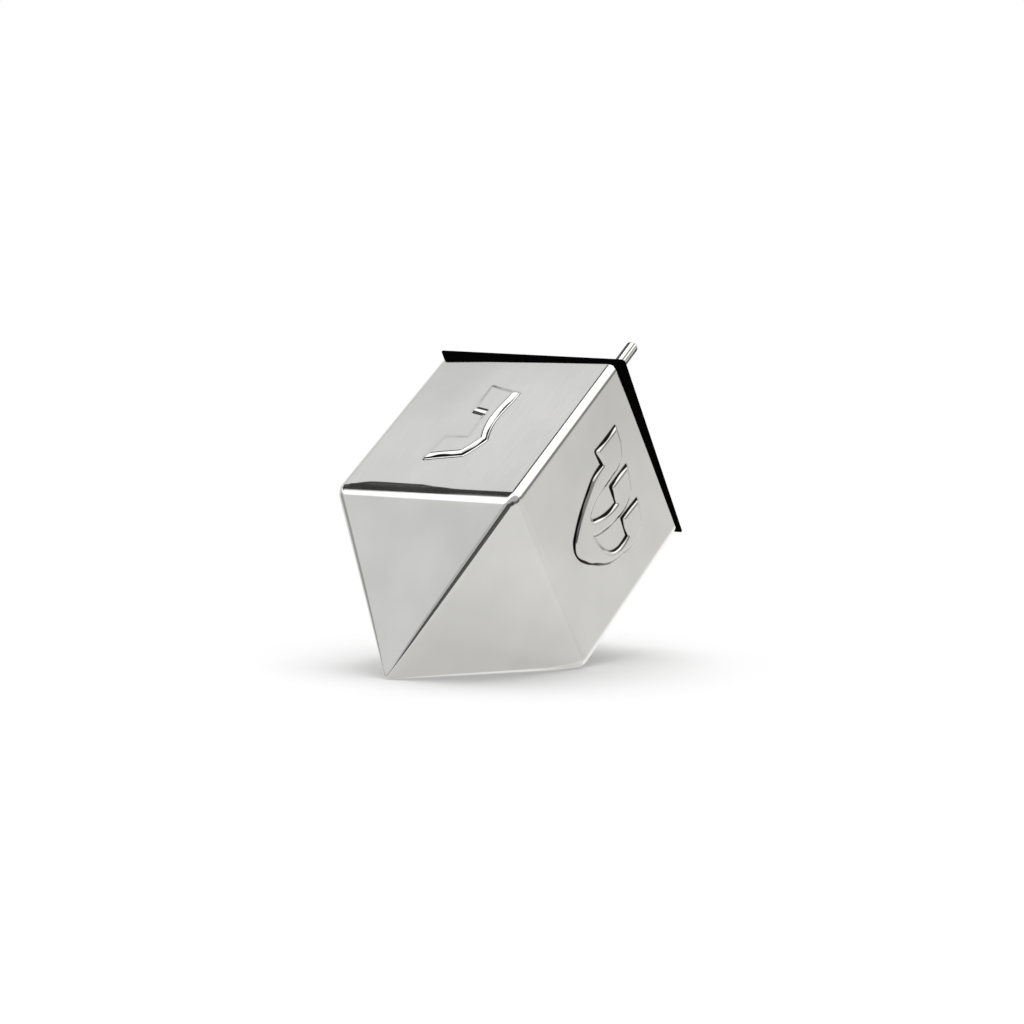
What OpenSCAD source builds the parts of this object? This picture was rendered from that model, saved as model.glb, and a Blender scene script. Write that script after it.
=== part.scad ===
// Dreidel of polished metal: a solid four-sided point, four mitred side plates that make a hollow box,
// a bevelled black plate on the rim and a round stem that runs from the point up through the plate.
// It lies as it comes to rest, on one flank of its point, with the tip at the origin.

/* [Box] */
// Width of the box across its flat sides
body_w = 25; // [18:0.5:40]
// Height of the sides from the shoulder to the rim
side_h = 24.5; // [16:0.1:45]
// Thickness of the side plates
side_wall = 0.9; // [0.6:0.1:2]
// Rounding of the upright edges
edge_r = 1; // [0.4:0.1:2]

/* [Point] */
// Height of the point from its sharp tip to the shoulder
point_h = 17.4; // [14:0.2:30]
// Radius of the soft bend from the sides into the flanks
shoulder_r = 2.8; // [1:0.1:5]
// Radius of the ball at the tip
tip_r = 0.3; // [0.2:0.05:0.8]
// Height of the square boss that the side plates stand round
boss_h = 1.6; // [0.8:0.1:4]
// Solder gap between the boss and the side plates
solder_gap = 0.05; // [0.02:0.01:0.2]

/* [Stem] */
// Diameter of the stem above the plate
stem_d = 1.5; // [1.4:0.1:3]
// Diameter of the shank below, so that a shoulder holds the plate down
shank_d = 1.1; // [0.8:0.05:1.15]
// Length of the stem that stands above the plate
stem_out = 19.8; // [10:0.1:30]
// Depth of the shank's hole below the shoulder of the body
stem_seat = 8; // [4:0.5:10]
// Rise of the dome on the stem's end
dome_rise = 0.35; // [0.1:0.05:0.7]
// Gap round the shank in the point and in the plate
stem_gap = 0.03; // [0.02:0.01:0.1]

/* [Top plate] */
// Thickness of the plate
plate_t = 0.9; // [0.6:0.1:2]
// Height of the upright land along the plate's upper edge
plate_land = 0.2; // [0.1:0.05:0.4]
// How far the plate's upper edge stands past the sides, on average
plate_overhang = 0.3; // [0.2:0.05:1]
// How far the bevel below the land draws the plate's foot in
plate_bevel = 0.6; // [0.2:0.05:0.7]
// Rounding of the plate's corners
plate_corner_r = 0.5; // [0.3:0.1:3]
// How far the plate's outline lies off the stem, towards the nun and shin sides
plate_shift = 0.15; // [0:0.05:0.4]
// Turn of the plate on the stem, against the clock from above
plate_turn = 1.8; // [-2:0.1:2]

/* [Hidden] */
$fn = 48;

half_w = body_w / 2;
rim_z = point_h + side_h;
plate_top_z = rim_z + plate_t;
seat_z = point_h - stem_seat;
inner_w = body_w - 2 * side_wall;
// Angle between a flank and the spin axis, which is also the bend at the shoulder
flank_angle = atan(half_w / point_h);
// Turn about the tip that lays the flank under the hei side on the floor
lie_angle = 90 - flank_angle;
// Length from the shoulder's sharp edge to where its round bend begins
bend_run = shoulder_r * tan(flank_angle / 2);
bend_z = point_h + bend_run;
bend_steps = 8;
// Height of the ball's centre, and of the ring where the flanks leave the ball
tip_z = tip_r / sin(flank_angle);
tip_ring_z = tip_z - tip_r * sin(flank_angle);
// A slice is thin enough to vanish in the form that is stretched over it
slice_t = 0.001;
// Reach of the cutting shapes past the part
past = 10;
metal = [0.78, 0.78, 0.76];
black = [0.03, 0.03, 0.03];

module lie_at_rest() {
    rotate([0, lie_angle, 0]) children();
}

module rounded_square(width, r) {
    offset(r = r) square(width - 2 * r, center = true);
}

// One level of the outer form: its corners grow sharper towards the tip as its width shrinks
module level(z, half) {
    translate([0, 0, z]) linear_extrude(slice_t) rounded_square(2 * half, edge_r * half / half_w);
}

// The polished outside of box and point: ball tip, flat flanks, soft shoulder, upright sides
module outer_form() {
    hull() {
        translate([0, 0, tip_z]) sphere(tip_r);
        level(tip_ring_z, tip_ring_z * tan(flank_angle));
        for (k = [0:bend_steps]) {
            bend = flank_angle * k / bend_steps;
            level(bend_z - shoulder_r * sin(bend), half_w - shoulder_r * (1 - cos(bend)));
        }
        level(rim_z - slice_t, half_w);
    }
}

module stem_hole(from_z, to_z) {
    translate([0, 0, from_z]) cylinder(d = shank_d + 2 * stem_gap, h = to_z - from_z);
}

// The solid point and its boss, one casting, with the blind hole that the stem's shank sits in
module point() {
    boss_w = inner_w - 2 * solder_gap;
    color(metal) lie_at_rest() difference() {
        intersection() {
            outer_form();
            union() {
                translate([-body_w, -body_w, -past]) cube([2 * body_w, 2 * body_w, point_h + past]);
                translate([-boss_w / 2, -boss_w / 2, 0]) cube([boss_w, boss_w, point_h + boss_h]);
            }
        }
        stem_hole(seat_z, point_h + boss_h + past);
    }
}

// One side plate, cut at 45 degrees to meet its neighbours; the one made here is turned into each place
module side_plate(turn) {
    color(metal) lie_at_rest() rotate([0, 0, turn]) difference() {
        intersection() {
            outer_form();
            translate([0, 0, point_h]) linear_extrude(side_h)
                polygon([[0, 0], [body_w, -body_w], [body_w, body_w]]);
        }
        translate([-inner_w / 2, -inner_w / 2, 0]) cube([inner_w, inner_w, rim_z + past]);
    }
}

module hei_side() {
    side_plate(0);
}

module gimel_side() {
    side_plate(90);
}

module nun_side() {
    side_plate(180);
}

module shin_side() {
    side_plate(270);
}

// Its bevelled edge leans out from the rim, up to the land
module top_plate() {
    plate_w = body_w + 2 * plate_overhang;
    color(black) lie_at_rest() difference() {
        translate([-plate_shift, -plate_shift, rim_z]) rotate([0, 0, plate_turn]) hull() {
            linear_extrude(slice_t) rounded_square(plate_w - 2 * plate_bevel, plate_corner_r);
            translate([0, 0, plate_t - plate_land]) linear_extrude(plate_land)
                rounded_square(plate_w, plate_corner_r);
        }
        stem_hole(rim_z - past, plate_top_z + past);
    }
}

// Turned rod: the shank stands on the bottom of its hole, the shoulder bears on the plate, the end is domed
module stem() {
    dome_r = (stem_d * stem_d / 4 + dome_rise * dome_rise) / (2 * dome_rise);
    color(metal) lie_at_rest() {
        translate([0, 0, seat_z]) cylinder(d = shank_d, h = plate_top_z - seat_z);
        translate([0, 0, plate_top_z]) intersection() {
            cylinder(d = stem_d, h = stem_out);
            union() {
                cylinder(d = 2 * stem_d, h = stem_out - dome_rise);
                translate([0, 0, stem_out - dome_r]) sphere(dome_r);
            }
        }
    }
}

point();
nun_side();
gimel_side();
hei_side();
shin_side();
top_plate();
stem();
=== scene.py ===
"""Polished metal dreidel lying at rest on one flank of its point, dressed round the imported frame."""
import math

import bpy
import numpy as np
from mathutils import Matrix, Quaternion, Vector


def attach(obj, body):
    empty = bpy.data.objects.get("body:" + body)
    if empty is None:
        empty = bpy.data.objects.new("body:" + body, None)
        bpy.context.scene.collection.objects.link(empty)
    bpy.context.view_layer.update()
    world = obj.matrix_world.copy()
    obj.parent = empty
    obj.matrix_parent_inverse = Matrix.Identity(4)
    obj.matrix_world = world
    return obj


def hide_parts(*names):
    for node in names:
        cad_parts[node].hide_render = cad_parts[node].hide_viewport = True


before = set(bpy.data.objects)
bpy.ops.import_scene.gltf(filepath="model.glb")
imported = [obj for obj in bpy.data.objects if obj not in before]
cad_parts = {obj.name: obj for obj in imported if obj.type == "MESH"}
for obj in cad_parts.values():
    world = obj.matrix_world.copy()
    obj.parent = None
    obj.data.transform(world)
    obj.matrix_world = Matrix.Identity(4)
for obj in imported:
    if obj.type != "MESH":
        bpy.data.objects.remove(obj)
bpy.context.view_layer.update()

# Viewpoint: a long lens a little above the table, turned so that the nun and shin sides both show.
# The place was found from the body's corners in a 1024 x 1024 frame.
photo_lens = bpy.data.cameras.new("photo_lens")
photo_lens.sensor_width = 36
photo_lens.lens = 89.45
lens_place = Vector((-0.22108, -0.16803, 0.03947))
aim_point = Vector((0.02054, -0.002595, 0.017422))
lens_roll = math.radians(0.588)
looking = (aim_point - lens_place).to_track_quat("-Z", "Y") @ Quaternion((0, 0, 1), lens_roll)
camera = bpy.data.objects.new("camera", photo_lens)
camera.rotation_mode = "QUATERNION"
camera.location = lens_place
camera.rotation_quaternion = looking
bpy.context.scene.collection.objects.link(camera)
bpy.context.scene.camera = camera
bpy.context.scene.view_settings.view_transform = "Standard"


# Studio: a light tent of white cloth with a soft box overhead, dark gaps and an opening for the lens, and
# two black cards. Polished metal is lit by what it mirrors, so the tent is drawn by direction for mirrored
# rays, which also see the cards and a paler table; everything else gets plain even light.
class Shade:
    """One socket of a node tree. Arithmetic with numbers or other sockets adds Math nodes."""

    def __init__(self, tree, socket=None):
        self.tree = tree
        self.socket = socket

    def node(self, kind, settings=None, sockets=None, out=0):
        """Adds a node: its settings first, then values or links for its sockets; gives one output."""
        made = self.tree.nodes.new(kind)
        for name, value in (settings or {}).items():
            setattr(made, name, value)
        for key, value in (sockets or {}).items():
            if isinstance(value, Shade):
                self.tree.links.new(value.socket, made.inputs[key])
            else:
                made.inputs[key].default_value = value
        return Shade(self.tree, made.outputs[out]) if made.outputs else None

    def math(self, operation, first, second):
        return self.node("ShaderNodeMath", {"operation": operation}, {0: first, 1: second})

    def __add__(self, other):
        return self.math("ADD", self, other)

    __radd__ = __add__

    def __sub__(self, other):
        return self.math("SUBTRACT", self, other)

    def __rsub__(self, other):
        return self.math("SUBTRACT", other, self)

    def __mul__(self, other):
        return self.math("MULTIPLY", self, other)

    __rmul__ = __mul__

    def past(self, edge, soft):
        """0 below the edge and 1 above it, with a smooth step of that half-width between."""
        limits = {"Value": self, "From Min": edge - soft, "From Max": edge + soft}
        return self.node("ShaderNodeMapRange", {"interpolation_type": "SMOOTHSTEP"}, limits)

    def blend(self, share, first, second):
        """The first colour where the share is 0 and the second where it is 1."""
        return self.node("ShaderNodeMix", {"data_type": "RGBA"}, {0: share, 6: first, 7: second}, out=2)

    def noise(self, place, scale, detail):
        """Cloudy noise round one half, smaller with the scale and rougher with the detail."""
        return self.node("ShaderNodeTexNoise", None, {"Vector": place, "Scale": scale, "Detail": detail})

    def bumps(self, height, strength, distance):
        """The surface's normal, tipped by a height of that distance in metres."""
        relief = {"Height": height, "Strength": strength, "Distance": distance}
        return self.node("ShaderNodeBump", None, relief, out="Normal")

    def layer(self, name):
        """A value that the mesh carries at each of its points."""
        return self.node("ShaderNodeAttribute", {"attribute_name": name}, out="Fac")


white = (1, 1, 1, 1)
warm_white = (1, 0.993, 0.967, 1)
room_level = 0.71
room = bpy.data.worlds.new("light_tent")
room.use_nodes = True
room.node_tree.nodes.clear()
bpy.context.scene.world = room
tent = Shade(room.node_tree)
heading = tent.node("ShaderNodeTexCoord", out="Generated")


def lean(axis):
    """How far a direction leans towards one axis of the room, from -1 to 1: their dot product."""
    pair = {0: heading, 1: axis}
    return tent.node("ShaderNodeVectorMath", {"operation": "DOT_PRODUCT"}, pair, out="Value")


# Each limit below is a lean, with the half-width of its soft edge; each factor is a share of the light.
to_right = lean(looking @ Vector((1, 0, 0)))
to_top = lean(looking @ Vector((0, 1, 0)))
to_lens = lean(looking @ Vector((0, 0, 1)))
box_edge = to_top.past(0.465, 0.025) * (1 - to_right.past(0.87, 0.05)) * (1 - to_lens.past(0.50, 0.10))
slot_end = to_lens + 0.45 * to_right
box_start = tent.math("MAXIMUM", slot_end.past(-0.285, 0.025), 1 - to_right.past(-0.79, 0.03))
soft_box = box_edge * box_start
slot = to_top.past(0.60, 0.05) * to_lens.past(-0.395, 0.012) * (1 - slot_end.past(-0.300, 0.025))
gap_height = to_top.past(0.08, 0.06) * (1 - to_top.past(0.44, 0.05))
side_gap = to_right.past(0.80, 0.03) * gap_height * to_lens.past(-0.22, 0.04)
low_gap = (1 - to_right.past(-0.86, 0.05)) * (1 - to_top.past(0.28, 0.04)) * (1 - to_lens.past(0.25, 0.05))
opening = (1 - 0.33 * to_lens.past(0.44, 0.05)) * (1 - 0.80 * to_lens.past(0.94, 0.03))
door_height = to_top.past(-0.12, 0.06) * (1 - to_top.past(0.20, 0.06))
door = to_right.past(0.10, 0.05) * door_height * to_lens.past(0.30, 0.05)
gaps = (1 - 0.94 * slot) * (1 - 0.60 * side_gap) * (1 - 0.5 * low_gap) * (1 - 0.7 * door) * opening
over_nun = to_top.past(0.70, 0.05) * (1 - to_lens.past(-0.41, 0.01))
nun_light = over_nun * (0.14 - 0.26 * (1 - to_lens.past(-0.462, 0.010)))
left_dim = (1 - to_right.past(-0.80, 0.03)) * (0.06 + 0.11 * to_right.past(-0.875, 0.012))
right_dim = to_right.past(0.70, 0.10) * (0.02 + 0.12 * to_top.past(-0.03, 0.03))
cloth = gaps * (1.0 + nun_light) * (1 - left_dim) * (1 - right_dim) + 0.95 * soft_box
mirrored = tent.node("ShaderNodeLightPath", out="Is Glossy Ray")
seen = tent.node("ShaderNodeLightPath", out="Is Camera Ray")
cloth_tint = tent.blend(to_right.past(0.40, 0.30), white, warm_white)
tent_light = tent.node("ShaderNodeBackground", None, {"Color": cloth_tint, "Strength": cloth})
even_level = room_level + (1 - room_level) * seen
even_light = tent.node("ShaderNodeBackground", None, {"Color": white, "Strength": even_level})
light = tent.node("ShaderNodeMixShader", None, {0: mirrored, 1: even_light, 2: tent_light})
tent.node("ShaderNodeOutputWorld", None, {"Surface": light})

floor_reach = 0.16
floor_drop = 0.00002
floor_rings = np.geomspace(0.02, floor_reach, 24)[:, None]
floor_turns = np.linspace(0, 2 * np.pi, 48, endpoint=False)
paler_share = 0.66
stage_smooth = 30


def put_mesh(name, points, faces, smooth_under):
    """An object from points in metres and faces, smooth where its edges turn by less than an angle."""
    mesh = bpy.data.meshes.new(name)
    mesh.from_pydata(points.tolist(), [], faces)
    mesh.update()
    mesh.shade_smooth()
    mesh.set_sharp_from_angle(angle=math.radians(smooth_under))
    made = bpy.data.objects.new(name, mesh)
    bpy.context.scene.collection.objects.link(made)
    return made


def grid_quads(index):
    """Quads between neighbouring rows and columns of a grid of point numbers."""
    corners = [index[:-1, :-1], index[:-1, 1:], index[1:, 1:], index[1:, :-1]]
    return np.stack(corners, axis=-1).reshape(-1, 4)


def blank_finish(name):
    """A new material with an empty node tree, and a handle on that tree."""
    finish = bpy.data.materials.new(name)
    finish.use_nodes = True
    finish.node_tree.nodes.clear()
    return finish, Shade(finish.node_tree)


def table_surface():
    """Flat disc: radius times the cosine and sine of the turn, in rings that grow towards the rim."""
    across = floor_rings * np.cos(floor_turns)
    along = floor_rings * np.sin(floor_turns)
    rim = np.stack([across, along, np.full_like(across, -floor_drop)], axis=-1).reshape(-1, 3)
    index = 1 + np.arange(rim.shape[0]).reshape(across.shape)
    index = np.column_stack([index, index[:, 0]])
    fan = np.column_stack([np.zeros(len(floor_turns), int), index[0, :-1], index[0, 1:]])
    quads = grid_quads(index)[:, ::-1]
    return np.vstack([[0, 0, -floor_drop], rim]), fan.tolist() + quads.tolist()


table = put_mesh("table", *table_surface(), stage_smooth)
table_paper, paper = blank_finish("table_paper")
paper_tooth = paper.noise(paper.node("ShaderNodeTexCoord", out="Object"), 900.0, 3.0)
paper_face = {
    "Base Color": (0.93, 0.93, 0.93, 1),
    "Roughness": 0.9,
    "Specular IOR Level": 0.1,
    "Normal": paper.bumps(paper_tooth, 0.05, 0.0001),
}
paper_cover = paper.node("ShaderNodeBsdfPrincipled", None, paper_face)
paper_mirrored = paper.node("ShaderNodeLightPath", out="Is Glossy Ray")
paper_white = paper.node("ShaderNodeEmission", None, {"Color": warm_white, "Strength": 1.0})
paper_mix = {0: paler_share * paper_mirrored, 1: paper_cover, 2: paper_white}
paper_shown = paper.node("ShaderNodeMixShader", None, paper_mix)
paper.node("ShaderNodeOutputMaterial", None, {"Surface": paper_shown})
table.data.materials.append(table_paper)

high_light = bpy.data.lights.new("high_soft_light", "SUN")
high_light.energy = 1.38
high_light.angle = math.radians(50)
high_lamp = bpy.data.objects.new("high_soft_light", high_light)
high_lamp.rotation_mode = "QUATERNION"
high_lamp.rotation_quaternion = Vector((-0.33, -0.14, -1.0)).to_track_quat("-Z", "Y")
high_lamp.visible_glossy = False
bpy.context.scene.collection.objects.link(high_lamp)

card_reach = (0.010, 0.40)
card_lift = 0.0002
card_wall = (0.03, 0.15)
card_swing = (-32, 10)
card_felt = bpy.data.materials.new("card_felt")
card_felt.use_nodes = True
felt_cover = card_felt.node_tree.nodes["Principled BSDF"]
felt_cover.inputs["Base Color"].default_value = (0.12, 0.12, 0.12, 1)
felt_cover.inputs["Roughness"].default_value = 1.0
felt_cover.inputs["Specular IOR Level"].default_value = 0.0


def open_sheet(points):
    """The list of points and the quads of a grid of points."""
    index = np.arange(points[..., 0].size).reshape(points.shape[:2])
    return points.reshape(-1, 3), grid_quads(index).tolist()


def leave_to_mirrors(card):
    """Felt for a card that only mirrored rays meet: the lens doesn't see it and it casts no shadow."""
    card.visible_camera = False
    card.visible_diffuse = False
    card.visible_shadow = False
    card.data.materials.append(card_felt)


def black_card():
    """A fan on the table in front of the tip that rises into a low wall: radius and height along the
    profile, swung round the tip through the directions that the edge facing the lens mirrors."""
    radius = np.concatenate([np.geomspace(*card_reach, 12), np.full(4, card_reach[1])])[:, None]
    height = np.concatenate([np.full(12, card_lift), np.linspace(*card_wall, 4)])[:, None]
    ahead = math.atan2(lens_place.y - aim_point.y, lens_place.x - aim_point.x)
    swing = ahead + np.radians(np.linspace(*card_swing, 17))
    fan = np.stack([radius * np.cos(swing), radius * np.sin(swing), height + 0 * swing], axis=-1)
    return open_sheet(fan)


card = put_mesh("black_card", *black_card(), stage_smooth)
leave_to_mirrors(card)

body_w = 25.0
point_h = 17.4
half_w = body_w / 2
flank_angle = math.atan(half_w / point_h)
lie_angle = math.pi / 2 - flank_angle
flag_r = 10.0
flag_reach = (58.0, 135.0)
flag_swing = (-52, 144)


def lie_down(points):
    """Turns upright points about the tip, so that the hei flank lies on the table, and makes them metres."""
    x, y, z = np.moveaxis(np.asarray(points, float) / 1000, -1, 0)
    lean_cos, lean_sin = math.cos(lie_angle), math.sin(lie_angle)
    return np.stack([lean_cos * x + lean_sin * z, y, lean_cos * z - lean_sin * x], axis=-1)


def stem_flag():
    """Half a tube behind the stem's end: the radius times the cosine and sine of the turn about the stem's
    axis, carried along that axis and laid down with the body."""
    swing = np.radians(np.linspace(*flag_swing, 29))
    height = np.linspace(*flag_reach, 12)[:, None] + 0 * swing
    across = flag_r * np.cos(swing) + 0 * height
    along = flag_r * np.sin(swing) + 0 * height
    return open_sheet(lie_down(np.stack([across, along, height], axis=-1)))


flag = put_mesh("stem_flag", *stem_flag(), stage_smooth)
leave_to_mirrors(flag)

# Polished metal of point, sides and stem: a hard white metal, cast, struck and drawn, then buffed to a
# mirror. Buffing leaves hair-fine streaks and soft clouds. A dark layer of the mesh blackens the foot of the
# letters, partly as tarnish and partly as painted shade, and paints dark reflection lines along the stem;
# the edges that the dreidel lies on carry a painted highlight. The point and the stem get copies of the
# metal that are painted paler, so that they render lighter.
cool_metal = np.array([0.515, 0.516, 0.507])
warm_metal = np.array([0.670, 0.666, 0.651])
glint_metal = (0.92, 0.92, 0.90, 1)
tarnish_and_shade_black = (0.005, 0.005, 0.005, 1)
buffing = (2600.0, 2600.0, 320.0)
drawing = (5000.0, 5000.0, 60.0)


def polished_metal(name, streak_stretch, paler, rougher):
    """Metal whose roughness and tint drift with noise, drawn out along the body so that it reads as buffing,
    under the mesh's dark layer (tarnish and painted shade) and its painted highlight. Paler lifts the tint
    so that a part renders lighter: painted light."""
    finish, metal = blank_finish(name)
    spots = metal.node("ShaderNodeTexCoord", out="Object")
    upright = metal.node("ShaderNodeMapping", None, {"Vector": spots, "Rotation": (0, -lie_angle, 0)})
    drawn = metal.node("ShaderNodeMapping", None, {"Vector": upright, "Scale": streak_stretch})
    streaks = metal.noise(drawn, 1.0, 4.0)
    clouds = metal.noise(upright, 115.0, 2.0)
    grain = metal.noise(upright, 4200.0, 2.0)
    # Painted dark from the mesh's layer: tarnish and painted shade in the letters' foot, dark reflection
    # lines on the stem.
    dull = metal.layer("tarnish_and_painted_shade") * (1.25 + 0.5 * (grain - 0.5))
    cool = (*(cool_metal + paler), 1)
    warm = (*(warm_metal + paler), 1)
    # Painted highlight: where the mesh marks it, the tint turns nearly white.
    bright = metal.blend(metal.layer("painted_glint"), metal.blend(clouds, cool, warm), glint_metal)
    skin = {
        "Base Color": metal.blend(dull, bright, tarnish_and_shade_black),
        "Metallic": 1.0,
        "Roughness": 0.06 + rougher + 0.05 * streaks + 0.04 * clouds + 0.35 * dull,
        "Normal": metal.bumps(streaks, 0.04, 0.00002),
    }
    surface = metal.node("ShaderNodeBsdfPrincipled", None, skin)
    metal.node("ShaderNodeOutputMaterial", None, {"Surface": surface})
    return finish


body_metal = polished_metal("buffed_metal", buffing, 0.0, 0.0)

# Point: a solid casting, four flat flanks that run from a small ball tip to the soft shoulder, with a square
# boss on top that the side plates stand round and a blind hole for the stem. The flanks were ground flat and
# buffed together with the sides, so the joint at the shoulder doesn't show.
shoulder_r = 2.8
tip_r = 0.3
edge_r = 1.0
side_wall = 0.9
boss_h = 1.6
boss_corner = 0.3
boss_chamfer = 0.2
solder_gap = 0.05
shank_d = 1.1
stem_gap = 0.03
stem_seat = 8.0
hole_chamfer = 0.1
bend_z = point_h + shoulder_r * math.tan(flank_angle / 2)
tip_z = tip_r / math.sin(flank_angle)
hole_r = shank_d / 2 + stem_gap
piece_smooth = 32
arc_steps = 8
flat_steps = 28
arc_turn = np.linspace(-math.pi / 4, 0, arc_steps + 1)
flat_run = np.sin(np.linspace(-math.pi / 2, math.pi / 2, flat_steps + 1))
side_turn = np.concatenate([arc_turn, np.zeros(flat_steps - 1), -arc_turn[::-1]])[:-1]
side_run = np.concatenate([-np.ones(arc_steps), flat_run, np.ones(arc_steps)])[:-1]


def side_outline(half, corner, turn, run):
    """One quarter of a rounded square, from corner to corner, facing +x: the straight run is carried to the
    corner's centre, and a short arm of the corner's radius turns there from -45 to 45 degrees."""
    core = half - corner
    return core + corner * np.cos(turn), core * run + corner * np.sin(turn)


def ring_stack(levels, corner_shares=(1, 1, 1, 1)):
    """Rings of a rounded square, one for each level (height, half width, corner radius, roundness): four
    turned quarters, each corner with its share of the radius, mixed with a circle by the roundness."""
    height, half, corner, roundness = [np.array(c, float)[:, None] for c in zip(*levels)]
    shares = np.broadcast_to(np.asarray(corner_shares, float), (len(levels), 4)).T[:, :, None]
    shares = np.where(side_run < 0, shares, np.roll(shares, -1, axis=0))
    quarters = [side_outline(half, corner * share, side_turn, side_run) for share in shares]
    (hei_x, hei_y), (gimel_y, gimel_x), (nun_x, nun_y), (shin_y, shin_x) = quarters
    ring_x = np.concatenate([hei_x, -gimel_x, -nun_x, shin_x], axis=1)
    ring_y = np.concatenate([hei_y, gimel_y, -nun_y, -shin_y], axis=1)
    turn = np.arctan2(ring_y, ring_x)
    ring_x = ring_x + roundness * (half * np.cos(turn) - ring_x)
    ring_y = ring_y + roundness * (half * np.sin(turn) - ring_y)
    return np.stack([ring_x, ring_y, np.broadcast_to(height, ring_x.shape)], axis=-1)


def capped_stack(name, rings, first_pole, last_pole):
    """A closed skin through a stack of rings, with a fan of triangles to a pole at either end."""
    count, around = rings.shape[:2]
    index = 1 + np.arange(count * around).reshape(count, around)
    index = np.column_stack([index, index[:, 0]])
    last = 1 + count * around
    foot = np.column_stack([np.zeros(around, int), index[0, 1:], index[0, :-1]])
    head = np.column_stack([np.full(around, last), index[-1, :-1], index[-1, 1:]])
    points = np.vstack([[first_pole], rings.reshape(-1, 3), [last_pole]])
    faces = foot.tolist() + grid_quads(index).tolist() + head.tolist()
    return put_mesh(name, lie_down(points), faces, piece_smooth)


def paint(made, layer, values):
    """Gives each point of a mesh a value, which its material reads by the layer's name."""
    shade = made.data.attributes.new(layer, "FLOAT", "POINT")
    shade.data.foreach_set("value", np.asarray(values, np.float32))


def bend_level(bend):
    """Height and half width where the shoulder's round bend has turned by this angle from the sides."""
    return bend_z - shoulder_r * np.sin(bend), half_w - shoulder_r * (1 - np.cos(bend))


# Rings of the point from the ball upwards: the flanks' edges start sharp and round off towards the shoulder.
seam_bend = math.asin((bend_z - point_h) / shoulder_r)
seam_row = 0.02
ball_turns = np.linspace(0.15, 1, 7) * lie_angle
ball = [(tip_z - tip_r * np.cos(b), tip_r * np.sin(b), tip_r * np.sin(b) * 0.5, 1.0) for b in ball_turns]
flank_top = bend_level(flank_angle)[0]
flank_z = ball[-1][0] + (flank_top - ball[-1][0]) * np.linspace(0, 1, 44)[1:] ** 1.4
flank_half = flank_z * math.tan(flank_angle)
flank_edge = edge_r * (1 - np.exp(-0.35 * flank_half)) * (0.7 + 0.3 * flank_half / half_w)
flank = list(zip(flank_z, flank_half, flank_edge, np.exp(-2.5 * flank_z)))
bends = np.concatenate([np.linspace(flank_angle, seam_bend, 8)[1:-1], [seam_bend + seam_row, seam_bend]])
shoulder = [(z, h, edge_r * h / half_w, 0.0) for z, h in zip(*bend_level(bends))]
boss_half = half_w - side_wall - solder_gap
boss_top = point_h + boss_h
hole_foot = point_h - stem_seat
boss = [
    (point_h, boss_half, boss_corner, 0.0),
    (boss_top - boss_chamfer, boss_half, boss_corner, 0.0),
    (boss_top, boss_half - boss_chamfer, boss_corner, 0.0),
    (boss_top, hole_r + hole_chamfer, boss_corner, 1.0),
    (boss_top - hole_chamfer, hole_r, boss_corner, 1.0),
    (hole_foot, hole_r, boss_corner, 1.0),
]
point_levels = ball + flank + shoulder + boss

# The two edges of the hei flank, which the dreidel lies on, are ground sharper up to near the shoulder.
ground_share = 0.25
ground_top = 14.0
ground_part = np.clip((np.array(point_levels)[:, 0] - ground_top) / (point_h - ground_top), 0, 1)
ground_edge = ground_share + (1 - ground_share) * ground_part
whole = np.ones(len(point_levels))
point_rings = ring_stack(point_levels, np.column_stack([ground_edge, ground_edge, whole, whole]))
point = capped_stack("cast_point", point_rings, (0, 0, tip_z - tip_r), (0, 0, hole_foot))

# Those edges carry a painted highlight, a paler line of metal, strongest near the tip.
glint_run = 0.985
glint_run_fade = 0.01
glint_top = 17.0
glint_top_fade = 4.0
glint_least = 0.3
edge_glint = np.clip((np.abs(side_run) - glint_run) / glint_run_fade, 0, 1)
next_to_hei = [np.ones(len(side_run)), side_run < 0, np.zeros(len(side_run)), side_run > 0]
hei_glint = np.concatenate([edge_glint * part for part in next_to_hei])
painted_edge_glint = np.clip((glint_top - point_rings[..., 2]) / glint_top_fade, glint_least, 1) * hei_glint
paint(point, "painted_glint", np.concatenate([[0], painted_edge_glint.ravel(), [0]]))
# The point's copy of the metal is painted a little paler, so that its flanks render lighter.
point.data.materials.append(polished_metal("cast_metal_painted_paler", buffing, 0.035, 0.0))
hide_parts("point")
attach(point, "root")

# Sides: four struck plates of sheet metal with a raised letter each, mitred where they meet at the upright
# edges, soldered round the boss and buffed until the joints vanish. The letters are the game's usual marks:
# nun, shin, hei and gimel, going to the right with the stem up. The nun is struck a little deeper.
side_h = 24.5
rim_z = point_h + side_h
face_z = 29.65
rim_r = 0.06
rim_row = 0.1
inner_half = half_w - side_wall
letter_soft = 0.25
letter_pitch = 0.06
plain_pitch = 0.6
edge_columns = np.array([0.0, 0.01, 0.03])
# Painted dark at the letters' foot, partly tarnish and partly painted shade: where its reach changes, and
# its soft edge.
crease_dark_change = (-2.8, -2.2)
crease_dark_soft = 0.06
# Painted highlight on the upright edges next to the hei side: where it starts, and its fade.
glint_out = 11.3
glint_out_fade = 0.3
worn_at = (-12.2, -11.5, -10.9, -9.5, -8.1, -0.7, 0.9, 4.0)
worn_band = 0.75
worn_band_gap = 0.05
worn_steep = 0.067
worn_soft = 0.06
worn_ease = 0.1


def letter_edges(corners):
    """A closed outline from corners (right, up, swell), clockwise: each edge is a parabola that swells
    outwards at its middle by that share of its length."""
    start = np.array(corners, float)
    end = np.roll(start, -1, axis=0)
    t = np.linspace(0, 1, 13)[:-1, None, None]
    chord = end[:, :2] - start[:, :2]
    outward = np.stack([-chord[:, 1], chord[:, 0]], axis=-1)
    curve = start[:, :2] + t * chord + 4 * t * (1 - t) * start[:, 2:] * outward
    return np.swapaxes(curve, 0, 1).reshape(-1, 2)


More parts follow.
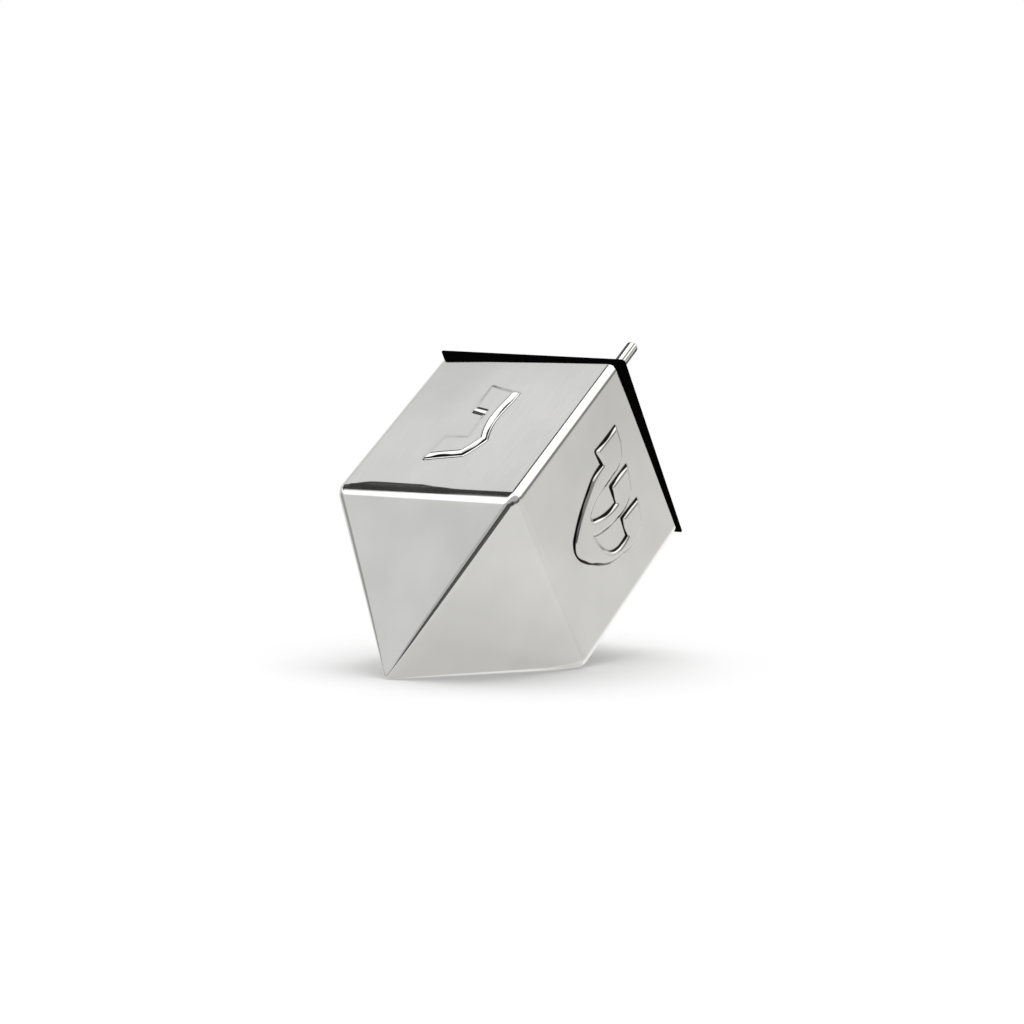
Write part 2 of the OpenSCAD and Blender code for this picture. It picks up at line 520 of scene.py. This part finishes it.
def letter_distance(right, up, outline):
    """Distance to an outline's nearest edge, negative inside, where a ray crosses an odd number of edges."""
    nearest = np.full(right.shape, 1e9)
    inside = np.zeros(right.shape, bool)
    for (ax, ay), (bx, by) in zip(outline, np.roll(outline, -1, axis=0)):
        run = ((right - ax) * (bx - ax) + (up - ay) * (by - ay)) / ((bx - ax) ** 2 + (by - ay) ** 2)
        run = np.clip(run, 0, 1)
        nearest = np.minimum(nearest, np.hypot(right - ax - run * (bx - ax), up - ay - run * (by - ay)))
        if ay != by:
            inside ^= ((ay > up) != (by > up)) & (right < ax + (up - ay) * (bx - ax) / (by - ay))
    return np.where(inside, -nearest, nearest)


def eased(x):
    """0 below zero and x above it, rounded off near zero."""
    bend = np.clip(x + letter_soft, 0, 2 * letter_soft) ** 2 / (4 * letter_soft)
    return bend + np.maximum(x - letter_soft, 0)


def fine_between(low, high, from_, to):
    """Numbers from low to high, at the letter's pitch between two places and the plain pitch elsewhere."""
    before = np.linspace(low, from_, max(2, int((from_ - low) / plain_pitch) + 1))
    within = np.linspace(from_, to, int((to - from_) / letter_pitch) + 1)
    after = np.linspace(to, high, max(2, int((high - to) / plain_pitch) + 1))
    return np.concatenate([before, within[1:-1], after])


def bands(value, low, high, soft):
    """1 between two limits and 0 outside them, with straight slopes of that width."""
    return np.clip((value - low) / soft + 0.5, 0, 1) * np.clip((high - value) / soft + 0.5, 0, 1)


def spun(points, spin_cos, spin_sin):
    """Upright points turned about the stem's axis."""
    x, y, z = np.moveaxis(points, -1, 0)
    return np.stack([spin_cos * x - spin_sin * y, spin_sin * x + spin_cos * y, z], axis=-1)


def struck_side(name, node, quarter_turns, outlines, relief, crease_dark, lee, wear, glint_sides):
    """One side plate: the rounded square's quarter stacked from the shoulder to the rim, raised where a
    point lies inside a letter by a flat-sloped step, worn along its foot, closed by a flat inner wall and
    two mitred ends. The step's foot is painted dark, partly as tarnish and partly as painted shade, heaviest
    on its lee side, and the upright edges picked out by the last argument carry a painted highlight."""
    letter_rise, letter_slope = relief
    low_reach, high_reach, crease_dark_inset = crease_dark
    edges = [letter_edges(o) for o in outlines]
    low = np.min([e.min(axis=0) for e in edges], axis=0) - letter_slope
    high = np.max([e.max(axis=0) for e in edges], axis=0) + letter_slope
    core = half_w - edge_r
    run = fine_between(-core, core, low[0], high[0]) / core
    run = np.concatenate([edge_columns - 1, run[1:-1], 1 - edge_columns[::-1]])
    turn = np.concatenate([arc_turn, np.zeros(len(run) - 2), -arc_turn[::-1]])
    run = np.concatenate([-np.ones(arc_steps), run, np.ones(arc_steps)])
    bends = np.concatenate([[seam_bend, seam_bend - seam_row], np.linspace(seam_bend, 0, 13)[1:-1]])
    bend_heights, bend_halves = bend_level(bends)
    flat_top = rim_z - rim_r - rim_row
    flat_z = fine_between(bend_z, rim_z - rim_r, face_z + low[1], face_z + high[1])
    flat_z = flat_z[(flat_z > bend_z + worn_band + worn_band_gap) & (flat_z < flat_top)]
    flat_z = np.concatenate([np.linspace(bend_z, bend_z + worn_band, 16), flat_z, [flat_top]])
    round_over = np.linspace(0, math.pi / 2, 5)
    height = np.concatenate([bend_heights, flat_z, rim_z - rim_r * (1 - np.sin(round_over))])[:, None]
    rim_halves = half_w - rim_r * (1 - np.cos(round_over))
    half = np.concatenate([bend_halves, np.full(len(flat_z), half_w), rim_halves])[:, None]
    across, along = side_outline(half, edge_r * half / half_w, turn, run)
    letter = np.min([letter_distance(along, height - face_z + 0 * along, e) for e in edges], axis=0)
    step = 0.5 - letter / letter_slope
    across = across + letter_rise * (eased(step) - eased(step - 1))

    worn = np.interp(along, worn_at, wear)
    worn_run = bend_z + worn - point_h
    worn_part = 2 * (height - point_h) / worn_run - 1
    worn_depth = worn_steep * worn_run / 2 * np.maximum(1 - np.sqrt(worn_part**2 + worn_soft), 0)
    kept = (half_w - half[0]) * np.clip((bend_z + worn - height) / worn_run, 0, 1)
    scooped = worn_depth * np.clip(worn / worn_ease, 0, 1)
    filled = (half_w - half - kept) * np.clip(-worn / worn_ease, 0, 1) * (height < bend_z)
    across = across - scooped + filled

    # The step's foot is painted dark, partly tarnish and partly painted shade, heaviest on the lee side of
    # each letter.
    foot = 0.5 * letter_slope
    uneven = 1 + 0.3 * np.sin(1.7 * along + 0.6) * np.sin(1.3 * height - 0.4)
    reach = np.interp(height - face_z, crease_dark_change, (low_reach, high_reach))
    rise_up = np.gradient(letter, height[:, 0], axis=0)
    rise_right = np.gradient(letter, along[-1], axis=1)
    lee_weight = np.clip(0.65 + rise_right * lee[0] + rise_up * lee[1], 0.05, 1)
    tarnish_and_painted_shade = bands(letter, foot - reach * uneven, foot - crease_dark_inset, crease_dark_soft) * lee_weight
    # Painted highlight along the upright edges next to the hei side.
    outward = (glint_sides[0] * -along, glint_sides[1] * along)
    painted_glint = sum(np.clip((out - glint_out) / glint_out_fade, 0, 1) for out in outward)

    outer = np.stack([across, along, np.broadcast_to(height, across.shape)], axis=-1)
    inner_run = np.linspace(-inner_half, inner_half, across.shape[1])
    inner_wall = np.full_like(inner_run, inner_half)
    inner = np.stack([inner_wall, inner_run, np.full_like(inner_run, rim_z)], axis=-1)
    lower = inner * (1, 1, 0) + (0, 0, point_h)
    skin = np.concatenate([outer, inner[None], lower[None]])
    rows, columns = skin.shape[:2]
    index = np.arange(rows * columns).reshape(rows, columns)
    faces = grid_quads(np.vstack([index, index[:1]])).tolist()
    faces += [index[:, 0].tolist(), index[::-1, -1].tolist()]
    quarter = [(1, 0), (0, 1), (-1, 0), (0, -1)][quarter_turns]
    made = put_mesh(name, lie_down(spun(skin.reshape(-1, 3), *quarter)), faces, piece_smooth)
    for layer, values in (("tarnish_and_painted_shade", tarnish_and_painted_shade), ("painted_glint", painted_glint)):
        paint(made, layer, np.concatenate([values.ravel(), np.zeros(2 * columns)]))
    made.data.materials.append(body_metal)
    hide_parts(node)
    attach(made, "root")


nun = [
    (-1.75, 7.3, -0.02), (2.3, 6.15, 0.02), (2.2, 4.4, -0.02), (1.9, 1.0, -0.04), (2.8, -2.6, 0.03),
    (1.3, -5.35, 0), (-1.2, -5.8, 0), (-3.35, -6.25, 0), (-2.75, -2.45, 0), (0.5, -2.35, 0.03),
    (0.3, 2.15, 0), (-1.65, 2.65, 0),
]
shin = [
    (-6.6, 8.1, 0), (-4.5, 7.9, 0.02), (-3.0, 7.2, 0.08), (-2.45, 4.6, 0), (-2.35, 0.4, -0.03),
    (-1.55, -1.9, -0.2), (-0.6, -1.85, -0.05), (0.75, 2.2, 0), (0.8, 3.3, 0), (-1.5, 3.4, 0),
    (-1.4, 7.5, 0.02), (1.5, 6.6, 0.1), (2.3, 2.6, 0.06), (0.75, -2.7, -0.05), (2.85, -2.2, -0.05),
    (4.6, -1.1, -0.06), (5.5, 1.0, -0.03), (5.4, 3.0, 0), (3.05, 3.25, 0), (3.3, 7.1, 0),
    (4.4, 6.9, 0.03), (6.3, 6.0, 0.08), (7.0, 4.3, 0.05), (6.5, 1.5, 0.02), (5.6, -1.5, 0.03),
    (3.5, -4.25, 0.03), (1.95, -5.75, 0.06), (0.6, -6.45, 0.08), (-0.5, -6.4, 0.1),
    (-1.45, -5.6, 0.02), (-3.0, -3.0, 0.01), (-4.5, 0.7, 0.03), (-4.75, 3.35, 0), (-6.75, 3.2, -0.01),
]
hei_roof = [
    (-5.4, 7.4, -0.01), (4.4, 6.5, 0.12), (5.4, 4.4, 0.02), (5.0, -1.0, 0.04), (3.6, -6.3, 0),
    (2.0, -5.4, -0.04), (2.9, 0.5, 0.03), (2.6, 3.0, 0), (-5.3, 3.4, 0),
]
hei_leg = [
    (-4.7, 1.6, 0), (-2.3, 1.2, 0.04), (-2.6, -3.4, 0.05), (-4.2, -6.2, 0), (-5.4, -5.2, -0.05),
    (-4.3, -1.4, 0.03),
]
gimel = [
    (-1.65, 7.2, -0.02), (2.1, 6.2, 0.02), (2.2, 4.4, -0.03), (1.95, 1.2, -0.04), (3.0, -2.6, 0.02),
    (3.6, -6.4, 0), (1.6, -6.5, 0.02), (0.8, -3.4, -0.06), (-2.7, -6.6, 0), (-3.7, -4.6, 0),
    (0.6, -1.0, 0.04), (0.35, 2.2, 0), (-1.5, 2.7, 0),
]
hei = [hei_roof, hei_leg]
shallow = (0.32, 0.54)
deep = (0.37, 0.64)
# Reach and inset of the painted dark at the letters' foot, partly tarnish and partly painted shade, and the
# lee side where it is heaviest.
faint = (0.22, 0.22, 0.03)
nun_crease_dark = (0.34, 0.20, 0.09)
shin_crease_dark = (0.27, 0.27, 0.0)
below = (0.0, -0.7)
unworn = np.zeros(len(worn_at))
nun_wear = np.array([0, -0.40, -0.35, 0.20, 0.50, 0.42, 0.17, 0])
struck_side("hei_side_plate", "hei_side", 0, hei, shallow, faint, below, unworn, (1, 1))
struck_side("gimel_side_plate", "gimel_side", 1, [gimel], shallow, faint, below, unworn, (1, 0))
struck_side("nun_side_plate", "nun_side", 2, [nun], deep, nun_crease_dark, (0.6, -0.8), nun_wear, (0, 0))
struck_side("shin_side_plate", "shin_side", 3, [shin], shallow, shin_crease_dark, (-0.6, -0.8), unworn, (0, 1))

# Top plate: thin sheet under black enamel, varnished on top, a little wider than the body and not quite
# square on it, so that it stands out over the nun and shin sides. The stem's shoulder holds it down.
plate_t = 0.9
plate_land = 0.2
plate_overhang = 0.3
plate_half = half_w + plate_overhang
plate_bevel = 0.6
plate_corner = 0.5
plate_corner_shares = (0.3, 1.0, 0.3, 1.0)
plate_shift = np.array([-0.15, -0.15, 0.0])
plate_turn = math.radians(1.8)
plate_edge = 0.04
plate_top = rim_z + plate_t
plate_row = 0.1
bevel_row = 0.02


def enamel_plate():
    """A flat ring: square outline that widens from its foot up to the land and is rounded over on top,
    shifted and turned, with the stem's round hole."""
    over = np.linspace(0, math.pi / 2, 5)
    over_z = plate_top - plate_edge * (1 - np.sin(over))
    over_half = plate_half - plate_edge * (1 - np.cos(over))
    foot = plate_half - plate_bevel
    land = plate_top - plate_land
    rims = [
        (rim_z, foot - plate_row),
        (rim_z, foot),
        (rim_z + bevel_row, foot + bevel_row),
        (land - bevel_row, plate_half - bevel_row),
        (land, plate_half),
        *zip(over_z, over_half),
        (plate_top, plate_half - plate_edge - plate_row),
    ]
    square = ring_stack([(z, h, plate_corner, 0.0) for z, h in rims], plate_corner_shares)
    square = spun(square, math.cos(plate_turn), math.sin(plate_turn)) + plate_shift
    hole = ring_stack([(plate_top, hole_r, boss_corner, 1.0), (rim_z, hole_r, boss_corner, 1.0)])
    rings = np.concatenate([square, hole])
    rows, around = rings.shape[:2]
    index = np.arange(rows * around).reshape(rows, around)
    index = np.vstack([index, index[:1]])
    return rings, grid_quads(np.column_stack([index, index[:, 0]])).tolist()


plate_rings, plate_faces = enamel_plate()
plate = put_mesh("enamel_top_plate", lie_down(plate_rings.reshape(-1, 3)), plate_faces, piece_smooth)
varnish = np.zeros(plate_rings.shape[:2])
varnish[-3:-1] = 1
paint(plate, "varnish", varnish.ravel())
black_enamel, enamel = blank_finish("black_enamel")
enamel_spots = enamel.node("ShaderNodeTexCoord", out="Object")
enamel_peel = enamel.noise(enamel_spots, 1500.0, 2.0)
enamel_cloud = enamel.noise(enamel_spots, 160.0, 3.0)
enamel_face = {
    "Base Color": enamel.blend(enamel_cloud, (0.0006, 0.0006, 0.0007, 1), (0.0014, 0.0013, 0.0012, 1)),
    "Roughness": 0.50 + 0.14 * enamel_cloud,
    "Specular IOR Level": 0.01,
    "Coat Weight": enamel.layer("varnish") * 0.5,
    "Coat Roughness": 0.22,
    "Normal": enamel.bumps(enamel_peel, 0.12, 0.00003),
}
enamel_cover = enamel.node("ShaderNodeBsdfPrincipled", None, enamel_face)
enamel.node("ShaderNodeOutputMaterial", None, {"Surface": enamel_cover})
plate.data.materials.append(black_enamel)
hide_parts("top_plate")
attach(plate, "root")

# Stem: drawn rod, turned down to a thinner shank that stands in the point's hole. Its shoulder bears on the
# plate, its free end is rounded to a dome for finger and thumb, and dark lines run along it at fixed turns
# about its axis: painted dark reflections.
stem_d = 1.5
stem_out = 19.8
dome_rise = 0.45
dome_turns = np.linspace(0, 1.5, 12)
stem_end = plate_top + stem_out
dome_foot = stem_end - dome_rise
dome_row = 0.05
shank_r = shank_d / 2
shank_chamfer = 0.1
rod_r = stem_d / 2
rod_chamfer = 0.06
shank = [
    (hole_foot, shank_r - shank_chamfer),
    (hole_foot + shank_chamfer, shank_r),
    (plate_top, shank_r),
    (plate_top, rod_r - rod_chamfer),
    (plate_top + rod_chamfer, rod_r),
]
rod = [(z, rod_r) for z in np.linspace(plate_top + 1, dome_foot - dome_row, 20)]
dome = [(stem_end - dome_rise * (1 - math.sin(t)), rod_r * math.cos(t)) for t in dome_turns]
stem_rings = ring_stack([(z, r, 0.5 * r, 1.0) for z, r in shank + rod + dome])
stem = capped_stack("turned_stem", stem_rings, (0, 0, hole_foot), (0, 0, stem_end))
stem_turn = np.arctan2(stem_rings[..., 1], stem_rings[..., 0])
# Painted reflections: dark lines at these turns about the stem, with their widths, and how dark they are.
dark_line_turns = np.radians([(226, 9), (70, 9), (20, 5), (340, 4)])
dark_line_depth = 0.74
painted_dark_lines = np.exp([(np.cos(stem_turn - place) - 1) * 2 / width**2 for place, width in dark_line_turns])
painted_dark_lines = dark_line_depth * np.max(painted_dark_lines, axis=0).ravel()
paint(stem, "tarnish_and_painted_shade", np.concatenate([[0], painted_dark_lines, [0]]))
# The stem's copy of the metal is painted much paler, so that it renders nearly white.
stem.data.materials.append(polished_metal("drawn_metal_painted_paler", drawing, 0.28, 0.06))
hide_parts("stem")
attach(stem, "root")
